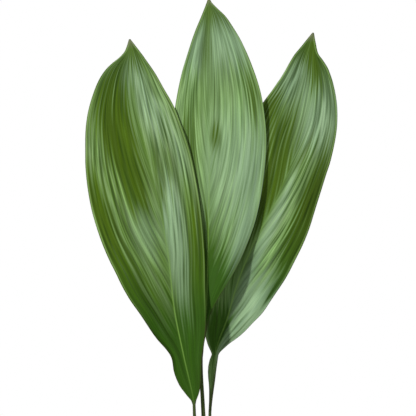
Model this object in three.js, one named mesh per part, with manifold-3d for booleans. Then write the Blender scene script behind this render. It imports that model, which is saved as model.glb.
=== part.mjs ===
// A cast iron plant in a clay pot: three long upright leaves, each on a slim channelled stalk, rise in a fan
// from a creeping rhizome that lies half bare in the potting soil. Papery scale leaves wrap the stalks' feet.
// Millimetres, +Z up, the origin at the centre of the pot's foot. The leaves show their upper faces to -Y.
import * as THREE from 'three';
import { mergeVertices } from 'three/addons/utils/BufferGeometryUtils.js';
import Module from 'manifold-3d';

const wasm = await Module();
wasm.setup();

// ---- Driving dimensions ----
const POT_HEIGHT = 150;
const RIM_RADIUS = 88; // outside of the rim at its top
const RIM_BAND = 32; // height of the thicker band below the rim's top
const RIM_STEP = 5; // how far the band stands out from the body
const BAND_TAPER = 3; // how much narrower the band is at its foot than at the rim's top
const RIM_ROLL = 1; // how far the rim rolls in over the wall
const FOOT_BEVEL = 3;
const BODY_FOOT_RADIUS = 58;
const WALL = 7;
const POT_FLOOR = 10;
const DRAIN_RADIUS = 8;
const POT_SIDES = 48;

const CLEARANCE = 0.3; // between pieces that rest on each other
const SOIL_LEVEL = 130; // height of the soil above the ground
const SOIL_LUMP = 1.3; // how far the soil's surface swells and dips
const SOIL_SIDES = 36;

const RHIZOME_RADIUS = 4.8;
const RHIZOME_LEVEL = SOIL_LEVEL + 1; // the rhizome's axis, so that its back lies bare
const RHIZOME_COURSE = [[-30, -33], [-21, -20], [-15, -12], [-7, 0], [1, 12], [8, 20], [13, 29]];
const KNOB_RADIUS = 5.7; // the swelling under each shoot
const KNOB_TOP = RHIZOME_LEVEL + 8;
const ROOT_RADIUS = 1.3;

const BLADE_THICKNESS = 0.8;
const RIB_HEIGHT = 0.45; // how far the pleats of a blade stand up and down
const PLEATED_WIDTH = 25; // half-width from which a blade is pleated in full
const WAVY_WIDTH = 40; // half-width from which its margin waves in full
const MIDRIB_ROUND = 5; // radius at which the two halves of a blade meet
const KEEL_HEIGHT = 1.2; // how far the midrib stands out behind the blade's foot
const STALK_DEPTH = 0.85; // front-to-back thickness of a stalk as a share of its width
const BLADE_COLUMNS = 20;
const STALK_ROWS = 7;
const BLADE_ROWS = 36;

const SHEATH_THICKNESS = 0.8;

// Each leaf: its stalk from the shoot's foot to the blade's foot, then the midrib to the tip, as points
// [x, y, z]. The rest are pairs of the distance along the course from the blade's foot and a value there:
// left and right are the half-widths, lift is the slope at which each half rises towards -Y from the midrib,
// curl is how far its margin rolls back beyond the share roll of its width, and turn is the slope of the
// whole blade across. wave is the height, length and phase of the margin's waves.
const LEAVES = [
  {
    name: 'left',
    colour: 0x47702f,
    stalk: [[-15, -12], [-14.6, -13, 175], [-17, -14.5, 218], [-20.4, -14.5, 252]],
    midrib: [[-21.4, -14, 269.5], [-32.3, -9, 318.3], [-42.6, -1.5, 367.2], [-49.7, 7, 426.9],
      [-60.8, 14, 487.1], [-75.2, 23, 546.8], [-89.5, 36, 606.2], [-94, 48, 669.9]],
    left: [[0, 2.6], [8, 7.1], [20, 12.1], [35, 14.4], [50, 13.6], [60, 16.7], [75.1, 24.8], [100.2, 36],
      [120.5, 47.7], [140.9, 56.4], [181.8, 68.2], [222.8, 73.7], [253.4, 73.4], [284, 69.3],
      [314.1, 62.1], [334.2, 54.4], [354.2, 43.7], [369.2, 35.1], [379.2, 27.4], [386.2, 19.8],
      [392.2, 12.2], [399.2, 6.1], [413.2, 0.6]],
    right: [[0, 3], [10, 8.6], [25, 13.4], [45, 19.2], [70.1, 28.6], [95.2, 34.5], [130.7, 37.8],
      [202.3, 44], [253.4, 46.9], [273.8, 46.9], [304.1, 44.3], [324.1, 42], [344.2, 36.9], [369.2, 28],
      [389.2, 16.6], [404.2, 6.7], [413.2, 0.6]],
    lift: [
      [[0, 0.7], [60, 0.5], [110, 0.3], [170, 0.05], [240, 0], [300, 0.12], [350, 0.28], [413, 0.2]],
      [[0, 0.7], [50, 0.45], [100, 0.32], [200, 0.3], [300, 0.26], [413, 0.2]],
    ],
    curl: [
      [[0, 0], [60, -1], [120, -4], [200, -3], [250, 2], [300, 4], [350, 2], [413, 0]],
      [[0, 0], [60, 1.5], [110, 4], [180, 3], [230, 1], [413, 0]],
    ],
    roll: [0.45, 0.68],
    turn: [[0, 0.35], [50, 0.3], [100, 0.1], [150, 0], [413, 0]],
    wave: [1.2, 130, 0.4],
    stalkRadius: [2.6, 1.6],
  },
  {
    name: 'centre',
    colour: 0x6a9160,
    stalk: [[-7, 0], [-7.4, -0.5, 180], [-9.4, -1.5, 225], [-11.6, -2, 268], [-13.3, -2.4, 300]],
    midrib: [[-13, -2, 322], [-9.8, -0.5, 344], [-7.2, 1.5, 375], [-5.9, 4, 424], [-4.6, 8, 490],
      [-4.1, 12, 549.7], [-4.3, 17, 608.9], [-4.2, 25, 661.9], [-4.7, 38, 713.8]],
    left: [[0, 2], [10, 3.4], [20, 6.2], [40, 11], [70, 21], [109.9, 33], [139.9, 40.5], [169.8, 44.9],
      [199.3, 45.9], [228.9, 44.1], [267.8, 38.8], [306.5, 31.4], [335.4, 23.1], [355, 16.8],
      [374.7, 8.9], [389.4, 3.2], [397.3, 0.6]],
    right: [[0, 2.2], [15, 2], [30, 3], [45, 6], [60, 13], [90, 30], [119.9, 43], [149.8, 52.6],
      [189.5, 59.6], [228.9, 62.7], [258, 61.1], [287.2, 56.6], [316.1, 47.6], [345.1, 35.4],
      [364.8, 24.5], [374.7, 18.1], [384.5, 8.9], [391.4, 3], [397.3, 0.6]],
    lift: [
      [[0, 0.5], [40, 0.2], [90, 0.06], [403, 0.03]],
      [[0, 0.3], [40, 0.1], [90, 0.02], [403, 0.04]],
    ],
    curl: [
      [[0, 0], [397, 0]],
      [[0, 0], [50, 2], [90, 5], [130, 7], [190, 5.5], [240, 3.5], [300, 4], [350, 1.5], [397, 0]],
    ],
    roll: [0.5, 0.5],
    turn: [[0, 0.6], [60, 0.6], [90, 0.42], [130, 0.25], [200, 0.2], [330, 0.2], [397, 0.12]],
    wave: [1.5, 150, 2.1],
    stalkRadius: [2.8, 1.9],
  },
  {
    name: 'right',
    colour: 0x527d45,
    stalk: [[1, 12], [0.6, 12, 175], [-2, 13.5, 222], [-3.7, 15.5, 251], [-0.6, 18.5, 285]],
    midrib: [[2.4, 21, 316.4], [6.8, 22.5, 333.5], [15, 24, 354.6], [26.4, 23.5, 394],
      [40.7, 13.5, 431.3], [58.4, 9.5, 467], [75, 7.5, 502.7], [89.6, 5.5, 540.1], [102.8, 7, 577.7],
      [109.6, 12, 615.2], [111.5, 24, 674.9]],
    left: [[-75, 1.6], [-55, 1.7], [-40, 3], [-30, 4.6], [-22, 6], [-12, 6.3], [-5, 5.3], [0, 4],
      [10, 11.3], [20, 17.7], [32.1, 23.1], [50.1, 27.1], [100.3, 35.5], [150.3, 44.3], [199.8, 51.6],
      [239.3, 54.8], [264.1, 54.5], [288.9, 51], [308.8, 43.6], [334.1, 32.2], [354.6, 21.9], [367, 12.4],
      [382.4, 0.6]],
    right: [[-75, 1.6], [-40, 2], [-20, 2.8], [-5, 3.5], [2, 3.8], [10, 8], [25, 16.6], [45.1, 27.6],
      [60.2, 36.1], [80.2, 42], [110.3, 47.9], [140.3, 49], [170.2, 47.7], [199.8, 43.7], [229.4, 41],
      [249.2, 39.8], [278.9, 35], [308.8, 27.8], [339.2, 16.9], [349.5, 10.9], [357.7, 5.5], [370, 2.8],
      [382.4, 0.6]],
    lift: [
      [[0, 0.5], [60, 0.3], [120, 0.2], [200, 0.12], [290, 0.05], [382, 0.03]],
      [[0, 0.4], [40, 0.36], [200, 0.36], [280, 0.15], [382, 0.05]],
    ],
    curl: [
      [[0, 0], [382, 0]],
      [[0, 0], [50, 1], [90, 9], [140, 15], [220, 14], [250, 7], [290, 0], [382, 0]],
    ],
    roll: [0.5, 0.3],
    turn: [[-75, 0], [0, 0], [150, 0.03], [250, 0.15], [300, 0.22], [382, 0.2]],
    wave: [1.2, 120, 1.2],
    stalkRadius: [2.6, 1.6],
  },
];

// Scale leaves, by shoot: how far each reaches up the stalk, its inner radius, the middle of its wrap in
// degrees from +X, and how far round it goes at its foot.
const SHEATHS = [
  { leaf: 'left', name: 'sheath_left_inner', height: 52, radius: 3.3, middle: 200, wrap: 300 },
  { leaf: 'left', name: 'sheath_left_outer', height: 27, radius: 4.5, middle: 40, wrap: 250 },
  { leaf: 'centre', name: 'sheath_centre_inner', height: 64, radius: 3.5, middle: 330, wrap: 300 },
  { leaf: 'centre', name: 'sheath_centre_outer', height: 34, radius: 4.7, middle: 160, wrap: 250 },
  { leaf: 'right', name: 'sheath_right_inner', height: 46, radius: 3.3, middle: 80, wrap: 300 },
  { leaf: 'right', name: 'sheath_right_outer', height: 24, radius: 4.5, middle: 260, wrap: 250 },
];

// ---- Shared shapes ----

// A mesh body from a flat list of points and a flat list of triangles.
function bodyOf(points, triangles) {
  const flat = new Float32Array(points.length * 3);
  points.forEach((p, i) => flat.set([p.x, p.y, p.z], i * 3));
  const geometry = new THREE.BufferGeometry();
  geometry.setAttribute('position', new THREE.BufferAttribute(flat, 3));
  geometry.setIndex(triangles);
  return geometry;
}

// A smooth value through pairs [x, value], with each slope set by the two neighbours.
function smoothThrough(pairs, x) {
  const last = pairs.length - 1;
  if (x <= pairs[0][0]) {
    return pairs[0][1];
  }
  if (x >= pairs[last][0]) {
    return pairs[last][1];
  }
  const slope = (k) => {
    const before = pairs[Math.max(k - 1, 0)];
    const after = pairs[Math.min(k + 1, last)];
    return (after[1] - before[1]) / (after[0] - before[0]);
  };
  let k = 0;
  while (x > pairs[k + 1][0]) {
    k += 1;
  }
  const span = pairs[k + 1][0] - pairs[k][0];
  const t = (x - pairs[k][0]) / span;
  const rise = 3 * t * t - 2 * t * t * t;
  const out = t * t * t - 2 * t * t + t;
  const home = t * t * t - t * t;
  const between = (1 - rise) * pairs[k][1] + rise * pairs[k + 1][1];
  return between + span * (out * slope(k) + home * slope(k + 1));
}

// A closed sheet between a front and a back grid of points, [row][column], both split into the same triangles.
function sheetBody(front, back) {
  const rows = front.length;
  const columns = front[0].length;
  const points = [...front.flat(), ...back.flat()];
  const f = (i, j) => i * columns + j;
  const b = (i, j) => rows * columns + f(i, j);
  const triangles = [];
  const quad = (p, q, r, s) => triangles.push(p, q, r, p, r, s);
  for (let i = 0; i < rows - 1; i += 1) {
    for (let j = 0; j < columns - 1; j += 1) {
      quad(f(i, j), f(i, j + 1), f(i + 1, j + 1), f(i + 1, j));
      triangles.push(b(i, j), b(i + 1, j + 1), b(i, j + 1));
      triangles.push(b(i, j), b(i + 1, j), b(i + 1, j + 1));
    }
    quad(f(i, 0), f(i + 1, 0), b(i + 1, 0), b(i, 0));
    quad(f(i, columns - 1), b(i, columns - 1), b(i + 1, columns - 1), f(i + 1, columns - 1));
  }
  for (let j = 0; j < columns - 1; j += 1) {
    quad(f(0, j), b(0, j), b(0, j + 1), f(0, j + 1));
    quad(f(rows - 1, j), f(rows - 1, j + 1), b(rows - 1, j + 1), b(rows - 1, j));
  }
  return bodyOf(points, triangles);
}

// A round body along a curve: rings of the given radius, [share of the length, radius], closed at both ends.
function limbBody(curve, radii, sides, rings) {
  const points = [];
  const triangles = [];
  for (let i = 0; i <= rings; i += 1) {
    const t = i / rings;
    const centre = curve.getPointAt(t);
    const along = curve.getTangentAt(t);
    const level = Math.abs(along.z) < 0.8 ? new THREE.Vector3(0, 0, 1) : new THREE.Vector3(1, 0, 0);
    const side = new THREE.Vector3().crossVectors(level, along).normalize();
    const up = new THREE.Vector3().crossVectors(along, side);
    const radius = smoothThrough(radii, t);
    for (let j = 0; j < sides; j += 1) {
      const angle = (j / sides) * 2 * Math.PI;
      points.push(centre.clone()
        .addScaledVector(side, radius * Math.cos(angle))
        .addScaledVector(up, radius * Math.sin(angle)));
    }
  }
  for (let i = 0; i < rings; i += 1) {
    for (let j = 0; j < sides; j += 1) {
      const here = i * sides + j;
      const next = i * sides + ((j + 1) % sides);
      triangles.push(here, next, next + sides, here, next + sides, here + sides);
    }
  }
  const foot = points.push(curve.getPointAt(0)) - 1;
  const head = points.push(curve.getPointAt(1)) - 1;
  for (let j = 0; j < sides; j += 1) {
    const next = (j + 1) % sides;
    triangles.push(foot, next, j);
    triangles.push(head, rings * sides + j, rings * sides + next);
  }
  return bodyOf(points, triangles);
}

function curveThrough(points) {
  return new THREE.CatmullRomCurve3(points.map((p) => new THREE.Vector3(...p)), false, 'centripetal');
}

function solidOf(geometry) {
  const bare = geometry.clone();
  bare.deleteAttribute('normal');
  bare.deleteAttribute('uv');
  const merged = mergeVertices(bare, 1e-4);
  return new wasm.Manifold(new wasm.Mesh({
    numProp: 3,
    vertProperties: merged.attributes.position.array,
    triVerts: new Uint32Array(merged.index.array),
  }));
}

function geometryOf(solid) {
  const mesh = solid.getMesh();
  const geometry = new THREE.BufferGeometry();
  geometry.setAttribute('position', new THREE.BufferAttribute(new Float32Array(mesh.vertProperties), 3));
  geometry.setIndex(new THREE.BufferAttribute(new Uint32Array(mesh.triVerts), 1));
  return geometry;
}

// ---- Pot: thrown clay with a thick rim band, a tapered body and one drain hole ----
const bandFoot = POT_HEIGHT - RIM_BAND;
const bodyTopRadius = RIM_RADIUS - RIM_STEP - BAND_TAPER;
const insideTopRadius = RIM_RADIUS - WALL - RIM_ROLL;
const insideFootRadius = BODY_FOOT_RADIUS - WALL;

// The inside radius of the pot at a height above its floor.
function insideRadius(z) {
  return insideFootRadius + (insideTopRadius - insideFootRadius) * ((z - POT_FLOOR) / (POT_HEIGHT - POT_FLOOR));
}

const POT_PROFILE = [
  [DRAIN_RADIUS, 0],
  [BODY_FOOT_RADIUS - FOOT_BEVEL, 0],
  [BODY_FOOT_RADIUS, FOOT_BEVEL],
  [bodyTopRadius, bandFoot - 2],
  [bodyTopRadius + 1, bandFoot],
  [RIM_RADIUS - BAND_TAPER, bandFoot],
  [RIM_RADIUS - 2, bandFoot + 2],
  [RIM_RADIUS, POT_HEIGHT - 4],
  [RIM_RADIUS - 1.2, POT_HEIGHT - 1],
  [RIM_RADIUS - 4, POT_HEIGHT],
  [insideTopRadius + 1.5, POT_HEIGHT - 1],
  [insideRadius(POT_HEIGHT - 5), POT_HEIGHT - 5],
  [insideFootRadius, POT_FLOOR],
  [DRAIN_RADIUS, POT_FLOOR],
  [DRAIN_RADIUS, 0],
];

function potBody() {
  const profile = POT_PROFILE.map(([r, z]) => new THREE.Vector2(r, z));
  const turned = new THREE.LatheGeometry(profile, POT_SIDES);
  turned.rotateX(Math.PI / 2);
  return geometryOf(solidOf(turned));
}

// ---- Rhizome: a knobbly creeping stem with a swelling under each shoot and fleshy roots below ----
const rhizomeCurve = curveThrough(RHIZOME_COURSE.map(([x, y], i) => [x, y, RHIZOME_LEVEL - 0.7 * (i % 2)]));

// Ring scars: the radius swells between the joints of the stem and draws in at each of them.
function rhizomeRadii(grown) {
  const radii = [];
  const joints = 9;
  for (let k = 0; k <= joints * 2; k += 1) {
    const t = k / (joints * 2);
    const swell = k % 2 === 0 ? -0.5 : 0.25;
    const ends = Math.min(1, 0.45 + 5 * t, 0.35 + 4 * (1 - t));
    radii.push([t, (RHIZOME_RADIUS + swell) * ends + grown]);
  }
  return radii;
}

// Five roots leave the stem's underside and wander down towards the wall.
const ROOTS = [
  [[-24, -24, 128], [-27, -30, 112], [-36, -33, 88], [-38, -38, 62]],
  [[-17, -15, 128], [-10, -22, 108], [-4, -32, 84], [-6, -36, 52]],
  [[-9, -3, 128], [-16, 2, 110], [-30, 6, 86], [-34, 14, 58]],
  [[-2, 8, 128], [8, 4, 106], [24, 2, 80], [28, -6, 48]],
  [[6, 18, 128], [4, 26, 110], [12, 36, 86], [10, 42, 60]],
];

function knobBody(x, y, grown) {
  const height = KNOB_TOP - RHIZOME_LEVEL;
  const knob = new THREE.CylinderGeometry(KNOB_RADIUS + grown, RHIZOME_RADIUS - 1 + grown, height, 16);
  knob.rotateX(Math.PI / 2);
  knob.translate(x, y, RHIZOME_LEVEL + height / 2);
  return knob;
}

// The whole stem with its knobs and roots; grown widens it all round, for the hollow it lies in.
function rhizomeSolid(grown) {
  let solid = solidOf(limbBody(rhizomeCurve, rhizomeRadii(grown), 12, 27));
  for (const leaf of LEAVES) {
    const [x, y] = leaf.stalk[0];
    solid = solid.add(solidOf(knobBody(x, y, grown)));
  }
  for (const course of ROOTS) {
    const radii = [[0, ROOT_RADIUS + grown], [1, 0.6 * ROOT_RADIUS + grown]];
    solid = solid.add(solidOf(limbBody(curveThrough(course), radii, 6, 8)));
  }
  return solid;
}

// ---- Soil: fills the pot to below its rim, lumpy on top, with the hollow where the rhizome lies ----
function soilHeight(x, y) {
  const lumps = Math.sin(x / 11 + 1.3) * Math.cos(y / 13 - 0.4) + 0.6 * Math.sin((x + y) / 7.5)
    + 0.5 * Math.cos((x - 1.4 * y) / 6.2 + 0.8);
  return lumps * SOIL_LUMP / 2;
}

function soilBody() {
  const edgeRadius = insideRadius(SOIL_LEVEL) - CLEARANCE;
  const footRadius = insideRadius(POT_FLOOR + CLEARANCE) - CLEARANCE;
  const rings = [10, 19, 28, 37, 46, 55, 64, 72, edgeRadius];
  const points = [new THREE.Vector3(0, 0, SOIL_LEVEL + soilHeight(0, 0))];
  for (const radius of rings) {
    const calm = Math.min(1, (edgeRadius - radius) / 8);
    for (let j = 0; j < SOIL_SIDES; j += 1) {
      const angle = (j / SOIL_SIDES) * 2 * Math.PI;
      const x = radius * Math.cos(angle);
      const y = radius * Math.sin(angle);
      points.push(new THREE.Vector3(x, y, SOIL_LEVEL + calm * soilHeight(x, y)));
    }
  }
  for (let j = 0; j < SOIL_SIDES; j += 1) {
    const angle = (j / SOIL_SIDES) * 2 * Math.PI;
    const floor = POT_FLOOR + CLEARANCE;
    points.push(new THREE.Vector3(footRadius * Math.cos(angle), footRadius * Math.sin(angle), floor));
  }
  const bottom = points.push(new THREE.Vector3(0, 0, POT_FLOOR + CLEARANCE)) - 1;
  const triangles = [];
  const at = (ring, j) => 1 + ring * SOIL_SIDES + (j % SOIL_SIDES);
  for (let j = 0; j < SOIL_SIDES; j += 1) {
    triangles.push(0, at(0, j), at(0, j + 1));
    for (let ring = 0; ring < rings.length; ring += 1) {
      triangles.push(at(ring, j), at(ring + 1, j), at(ring + 1, j + 1));
      triangles.push(at(ring, j), at(ring + 1, j + 1), at(ring, j + 1));
    }
    triangles.push(bottom, at(rings.length, j + 1), at(rings.length, j));
  }
  return geometryOf(solidOf(bodyOf(points, triangles)).subtract(rhizomeSolid(CLEARANCE)));
}

// ---- Leaves ----

// The course of a leaf from its shoot's foot to its tip, and the length of its stalk along it.
function courseOf(leaf) {
  const [x, y] = leaf.stalk[0];
  const foot = [x, y, KNOB_TOP + CLEARANCE];
  const stalk = [foot, ...leaf.stalk.slice(1)];
  const curve = curveThrough([...stalk, ...leaf.midrib]);
  curve.arcLengthDivisions = 2000;
  const divisions = 4000;
  const share = stalk.length / (stalk.length + leaf.midrib.length - 1);
  const lengths = curve.getLengths(divisions);
  return { curve, length: curve.getLength(), stalkLength: lengths[Math.round(share * divisions)] };
}

// How far a point of the blade lies behind the midrib, at the distance s along the blade and d across it,
// of a half-width w: the half's slope, rounded at the midrib, then the margin's curl and its waves.
function depthAt(leaf, s, d, w) {
  const side = d < 0 ? 0 : 1;
  const out = Math.min(1, Math.abs(d) / Math.max(w, 1));
  const lift = smoothThrough(leaf.lift[side], s);
  const rise = lift * (Math.sqrt(d * d + MIDRIB_ROUND * MIDRIB_ROUND) - MIDRIB_ROUND);
  const beyond = Math.max(0, out - leaf.roll[side]) / (1 - leaf.roll[side]);
  const curl = smoothThrough(leaf.curl[side], s) * beyond * beyond;
  const [height, length, phase] = leaf.wave;
  const wave = height * out * out * Math.sin((2 * Math.PI * s) / length + phase + 2 * side);
  return -rise + curl + wave * Math.min(1, w / WAVY_WIDTH) - smoothThrough(leaf.turn, s) * d;
}

// One leaf as one closed body: the stalk's rounded section widens into the thin blade, with a keel behind
// the midrib and shallow pleats that run with the veins.
function leafBody(leaf) {
  const { curve, length, stalkLength } = courseOf(leaf);
  const bladeLength = length - stalkLength;
  const stations = [];
  for (let i = 0; i < STALK_ROWS; i += 1) {
    stations.push((i / STALK_ROWS) * stalkLength);
  }
  for (let i = 0; i <= BLADE_ROWS; i += 1) {
    const t = i / BLADE_ROWS;
    stations.push(stalkLength + bladeLength * (t - (0.6 * Math.sin(2 * Math.PI * t)) / (2 * Math.PI)));
  }
  const middle = [];
  const offsets = [];
  for (const station of stations) {
    const s = station - stalkLength;
    const centre = curve.getPointAt(Math.min(1, station / length));
    const along = curve.getTangentAt(Math.min(1, station / length));
    const across = new THREE.Vector3(along.z, 0, -along.x).normalize();
    const up = THREE.MathUtils.clamp(station / stalkLength, 0, 1);
    const fade = THREE.MathUtils.clamp(1 - s / bladeLength, 0, 1);
    const stem = THREE.MathUtils.lerp(leaf.stalkRadius[0], leaf.stalkRadius[1], up) * Math.max(0.35, fade);
    const row = [];
    const rowOffsets = [];
    for (let j = 0; j <= BLADE_COLUMNS; j += 1) {
      const v = (2 * j) / BLADE_COLUMNS - 1;
      const pairs = v < 0 ? leaf.left : leaf.right;
      const half = s < pairs[0][0] ? stem : Math.max(smoothThrough(pairs, s), Math.min(stem, pairs[0][1]) * fade);
      const spread = THREE.MathUtils.smoothstep(half / stem, 1.05, 3);
      const rib = 2 / BLADE_COLUMNS;
      const share = Math.max(0, (Math.abs(v) - rib) / (1 - rib));
      const narrow = half * Math.sin((Math.PI / 2) * v);
      const ribHalf = Math.min(stem, 0.3 * half);
      const wide = Math.sign(v) * (ribHalf * Math.min(1, Math.abs(v) / rib) + (half - ribHalf) * share);
      const d = THREE.MathUtils.lerp(narrow, wide, spread);
      const inner = Math.abs(v) > rib && Math.abs(v) < 0.99;
      const pleat = inner ? RIB_HEIGHT * (j % 2 === 0 ? 1 : -1) * spread * Math.min(1, half / PLEATED_WIDTH) : 0;
      const point = centre.clone().addScaledVector(across, d);
      point.y += spread * depthAt(leaf, s, d, half) + pleat;
      row.push(point);
      const round = Math.cos((Math.PI / 2) * v);
      const stalkHalf = BLADE_THICKNESS / 2 + (stem * STALK_DEPTH - BLADE_THICKNESS / 2) * round;
      const keel = j === BLADE_COLUMNS / 2 ? KEEL_HEIGHT * fade : 0;
      const front = THREE.MathUtils.lerp(0.7 * stalkHalf, BLADE_THICKNESS / 2, spread);
      const back = THREE.MathUtils.lerp(stalkHalf, BLADE_THICKNESS / 2 + keel, spread);
      rowOffsets.push([Math.max(front, BLADE_THICKNESS / 2), back]);
    }
    middle.push(row);
    offsets.push(rowOffsets);
  }
  const front = [];
  const back = [];
  middle.forEach((row, i) => {
    front.push([]);
    back.push([]);
    row.forEach((point, j) => {
      const right = row[Math.min(j + 1, BLADE_COLUMNS)].clone().sub(row[Math.max(j - 1, 0)]);
      const above = middle[Math.min(i + 1, middle.length - 1)][j];
      const below = middle[Math.max(i - 1, 0)][j];
      const rise = above.clone().sub(below);
      const normal = new THREE.Vector3().crossVectors(right, rise).normalize();
      front[i].push(point.clone().addScaledVector(normal, offsets[i][j][0]));
      back[i].push(point.clone().addScaledVector(normal, -offsets[i][j][1]));
    });
  });
  return sheetBody(front, back);
}

// ---- Scale leaves: thin pointed sheaths wrapped round the feet of the stalks ----
function sheathBody(sheath) {
  const leaf = LEAVES.find((one) => one.name === sheath.leaf);
  const { curve, length } = courseOf(leaf);
  const rows = 7;
  const columns = 7;
  const outer = [];
  const inner = [];
  for (let i = 0; i <= rows; i += 1) {
    const t = i / rows;
    const centre = curve.getPointAt((t * sheath.height) / length);
    const radius = sheath.radius * (1 - 0.12 * t) + 1.6 * t * t * t;
    const wrap = THREE.MathUtils.degToRad(sheath.wrap) * (1 - t ** 1.7) + 0.22;
    outer.push([]);
    inner.push([]);
    for (let j = 0; j <= columns; j += 1) {
      const angle = THREE.MathUtils.degToRad(sheath.middle) + wrap * (j / columns - 0.5);
      const outwards = new THREE.Vector3(Math.cos(angle), Math.sin(angle), 0);
      inner[i].push(centre.clone().addScaledVector(outwards, radius));
      outer[i].push(centre.clone().addScaledVector(outwards, radius + SHEATH_THICKNESS));
    }
  }
  return sheetBody(outer, inner);
}

// ---- The plant in its pot ----
const terracotta = new THREE.MeshStandardMaterial({ color: 0xb5714f, roughness: 0.85, metalness: 0 });
const pottingSoil = new THREE.MeshStandardMaterial({ color: 0x3a2b21, roughness: 0.95, metalness: 0 });
const rhizomeSkin = new THREE.MeshStandardMaterial({ color: 0x8a7656, roughness: 0.7, metalness: 0 });
const dryScale = new THREE.MeshStandardMaterial({ color: 0x9a7a4e, roughness: 0.75, metalness: 0 });

const plant = new THREE.Group();

function place(name, geometry, material) {
  const mesh = new THREE.Mesh(geometry, material);
  mesh.name = name;
  plant.add(mesh);
}

place('pot', potBody(), terracotta);
place('soil', soilBody(), pottingSoil);
place('rhizome', geometryOf(rhizomeSolid(0)), rhizomeSkin);
for (const leaf of LEAVES) {
  const skin = new THREE.MeshStandardMaterial({ color: leaf.colour, roughness: 0.38, metalness: 0 });
  place(`leaf_${leaf.name}`, leafBody(leaf), skin);
}
for (const sheath of SHEATHS) {
  place(sheath.name, sheathBody(sheath), dryScale);
}

export default plant;
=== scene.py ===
"""A cast iron plant in a clay pot: three long ribbed leaves on slim stalks, their rhizome and its soil.

The plant's measures are in millimetres, scaled to metres as each mesh is made. The lamps' and the camera's
are in metres.
"""

import math

import bpy
import numpy as np
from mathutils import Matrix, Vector


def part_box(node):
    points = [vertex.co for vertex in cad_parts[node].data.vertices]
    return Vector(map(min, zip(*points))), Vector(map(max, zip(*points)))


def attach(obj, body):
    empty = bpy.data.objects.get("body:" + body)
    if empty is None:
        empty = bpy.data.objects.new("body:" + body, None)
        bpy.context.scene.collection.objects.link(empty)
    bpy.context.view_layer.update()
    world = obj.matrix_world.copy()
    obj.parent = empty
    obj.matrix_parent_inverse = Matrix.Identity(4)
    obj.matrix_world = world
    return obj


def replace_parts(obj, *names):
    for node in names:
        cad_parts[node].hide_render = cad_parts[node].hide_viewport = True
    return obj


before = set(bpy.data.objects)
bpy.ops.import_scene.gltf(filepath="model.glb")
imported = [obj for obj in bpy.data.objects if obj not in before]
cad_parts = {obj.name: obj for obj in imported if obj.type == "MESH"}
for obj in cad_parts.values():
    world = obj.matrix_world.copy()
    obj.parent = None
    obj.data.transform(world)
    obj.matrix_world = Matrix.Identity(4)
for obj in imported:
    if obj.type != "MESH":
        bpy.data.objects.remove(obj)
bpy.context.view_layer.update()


# ---- Pot ----
# A flower pot of red earthenware, thrown on a wheel and fired without glaze. A thick band stiffens the rim,
# the body tapers to a flat foot, and one hole in its floor drains the soil.
MM = 0.001


def linear(colour):
    """The linear RGBA of an sRGB hex colour: each channel by the sRGB curve."""
    channels = np.array([int(colour[i : i + 2], 16) / 255 for i in (1, 3, 5)])
    low = channels / 12.92
    high = ((channels + 0.055) / 1.055) ** 2.4
    return (*np.where(channels <= 0.04045, low, high), 1.0)


def feed(node, inputs):
    """Gives each of a node's inputs, by name or number, a value or a link from an output socket or from the
    first output of a node."""
    for key, value in inputs.items():
        if isinstance(value, bpy.types.Node):
            value = value.outputs[0]
        if isinstance(value, bpy.types.NodeSocket):
            node.id_data.links.new(value, node.inputs[key])
        else:
            node.inputs[key].default_value = value


def add(tree, kind, inputs=None, stops=(), **settings):
    """Adds a shader node with its inputs and settings. stops are a colour ramp's (position, hex) pairs."""
    node = tree.nodes.new("ShaderNode" + kind)
    for name, value in settings.items():
        setattr(node, name, value)
    feed(node, inputs or {})
    elements = node.color_ramp.elements if stops else ()
    while len(elements) < len(stops):
        elements.new(1.0)
    for element, (position, colour) in zip(elements, stops):
        element.position = position
        element.color = linear(colour)
    return node


def new_material(name):
    """An empty node material: its tree and its Principled shader, already joined to the output."""
    material = bpy.data.materials.new(name)
    material.use_nodes = True
    tree = material.node_tree
    return material, tree, tree.nodes["Principled BSDF"]


def grid_quads(rows, columns, around=False):
    """The quads of a grid of rows x columns points, where around joins the last column to the first."""
    index = np.arange(rows * columns).reshape(rows, columns)
    right = np.roll(index, -1, axis=1)
    if not around:
        index, right = index[:, :-1], right[:, :-1]
    return np.stack([index[:-1], right[:-1], right[1:], index[1:]], axis=-1).reshape(-1, 4)


def new_object(name, data):
    """An object at the origin, linked into the scene."""
    thing = bpy.data.objects.new(name, data)
    bpy.context.scene.collection.objects.link(thing)
    return thing


def mesh_object(name, points, faces, material):
    """An object from points in millimetres and faces, shaded smooth."""
    mesh = bpy.data.meshes.new(name)
    mesh.from_pydata((np.asarray(points, float) * MM).tolist(), [], faces)
    mesh.validate()
    mesh.shade_smooth()
    mesh.materials.append(material)
    return new_object(name, mesh)


def mesh_piece(name, points, faces, material, slot):
    """A mesh object that is a piece of the plant and so rides on its one body."""
    piece = mesh_object(name, points, faces, material)
    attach(piece, "root")
    return piece


def circle(count):
    """Angles in even steps once round."""
    return np.linspace(0, 2 * np.pi, count, endpoint=False)


def rounded(profile, radii, steps=6):
    """A closed profile whose corners are parabolic arcs, each starting and ending its radius away."""
    profile = np.asarray(profile, float)
    before = np.roll(profile, 1, axis=0)
    after = np.roll(profile, -1, axis=0)
    out = []
    for corner, back, ahead, radius in zip(profile, before, after, radii):
        start = corner + (back - corner) * min(radius / np.linalg.norm(back - corner), 0.5)
        end = corner + (ahead - corner) * min(radius / np.linalg.norm(ahead - corner), 0.5)
        t = np.linspace(0, 1, steps)[:, None]
        out.append((1 - t) ** 2 * start + 2 * t * (1 - t) * corner + t**2 * end)
    return np.vstack(out)


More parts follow.
